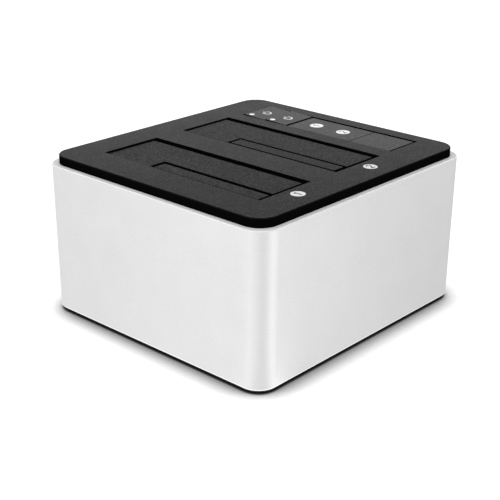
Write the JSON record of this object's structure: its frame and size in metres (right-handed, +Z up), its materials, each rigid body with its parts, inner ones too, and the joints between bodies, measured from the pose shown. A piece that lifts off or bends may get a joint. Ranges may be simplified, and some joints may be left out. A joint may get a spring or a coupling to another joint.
{
  "type": "hard drive docking station",
  "caption": "Desktop hard drive docking station: aluminium sleeve, black top cover with sprung doors over upright drive bays, rocker power switches and rear ports.",
  "frame": {"origin": "centre of the footprint, on the table plane under the feet", "axes": "+X to the user's right along the longest side, +Y to the rear where the ports are, +Z up"},
  "size_m": [0.158, 0.1466, 0.0843],
  "materials": {
    "anodised_aluminium": "fine bead-blasted, clear anodised",
    "black_cover": "fine spark-eroded texture, dark grey",
    "black_plastic": "black moulding",
    "strip_gloss": "smooth, dark grey",
    "white_window": "milky light window",
    "foot_rubber": "soft pad",
    "dark_steel": "black oxide",
    "bright_steel": "ground steel",
    "board_green": "solder mask",
    "chip_black": "moulding compound",
    "capacitor_can": "bare can",
    "ribbon_grey": "flat cable sleeve",
    "contact_brass": "gold-plated contacts"
  },
  "bodies": {
    "housing": {"shell": "anodised_aluminium", "top_cover": "black_cover", "base_plate": "black_plastic", "feet": "foot_rubber", "case_screws": "dark_steel", "rear_panel": "black_plastic", "main_pins": "bright_steel", "small_pins": "bright_steel", "main_board": "board_green", "board_screws": "dark_steel", "bay_screws": "dark_steel", "board_chips": "chip_black", "board_capacitors": "capacitor_can", "board_inductors": "chip_black", "usb_port": "bright_steel", "usb_tongue": "chip_black", "dc_jack": "chip_black", "dc_pin": "contact_brass", "status_panel": "strip_gloss", "front_panel": "strip_gloss", "status_lenses": "white_window", "number_discs": "white_window", "control_board": "board_green", "control_screws": "dark_steel", "status_leds": "white_window", "ribbon_plugs": "chip_black", "ribbon_cable": "ribbon_grey", "bay_well_1": "black_plastic", "drive_socket_1": "chip_black", "socket_contacts_1": "contact_brass", "switch_housing_1": "black_plastic", "bay_well_2": "black_plastic", "drive_socket_2": "chip_black", "socket_contacts_2": "contact_brass", "switch_housing_2": "black_plastic"},
    "main_door_1": {"main_door_1": "black_cover", "main_spring_1": "bright_steel"},
    "small_door_1": {"small_door_1": "black_cover", "small_spring_1": "bright_steel"},
    "rocker_1": {"rocker_1": "strip_gloss", "rocker_window_1": "white_window"},
    "main_door_2": {"main_door_2": "black_cover", "main_spring_2": "bright_steel"},
    "small_door_2": {"small_door_2": "black_cover", "small_spring_2": "bright_steel"},
    "rocker_2": {"rocker_2": "strip_gloss", "rocker_window_2": "white_window"}
  },
  "joints": [
    {"name": "main_door_1_hinge", "type": "hinge", "parent": "housing", "child": "main_door_1", "pos_m": [-0.0241, 0, 0.0795], "axis": [0, -1, 0], "range_deg": [0, 88], "stiffness_Nm_per_rad": 0.004, "springref_deg": -29.79},
    {"name": "small_door_1_hinge", "type": "hinge", "parent": "housing", "child": "small_door_1", "pos_m": [-0.05935, 0, 0.0795], "axis": [0, 1, 0], "range_deg": [0, 88], "stiffness_Nm_per_rad": 0.0008, "springref_deg": -34.38},
    {"name": "rocker_1_pivot", "type": "hinge", "parent": "housing", "child": "rocker_1", "pos_m": [0.0554, 0.042, 0.0802], "axis": [-1, 0, 0], "range_deg": [0, 4.4]},
    {"name": "main_door_2_hinge", "type": "hinge", "parent": "housing", "child": "main_door_2", "pos_m": [0.0305, 0, 0.0795], "axis": [0, -1, 0], "range_deg": [0, 88], "stiffness_Nm_per_rad": 0.004, "springref_deg": -29.79},
    {"name": "small_door_2_hinge", "type": "hinge", "parent": "housing", "child": "small_door_2", "pos_m": [-0.00475, 0, 0.0795], "axis": [0, 1, 0], "range_deg": [0, 88], "stiffness_Nm_per_rad": 0.0008, "springref_deg": -34.38},
    {"name": "rocker_2_pivot", "type": "hinge", "parent": "housing", "child": "rocker_2", "pos_m": [0.0554, 0.0266, 0.0802], "axis": [-1, 0, 0], "range_deg": [0, 4.4]}
  ]
}
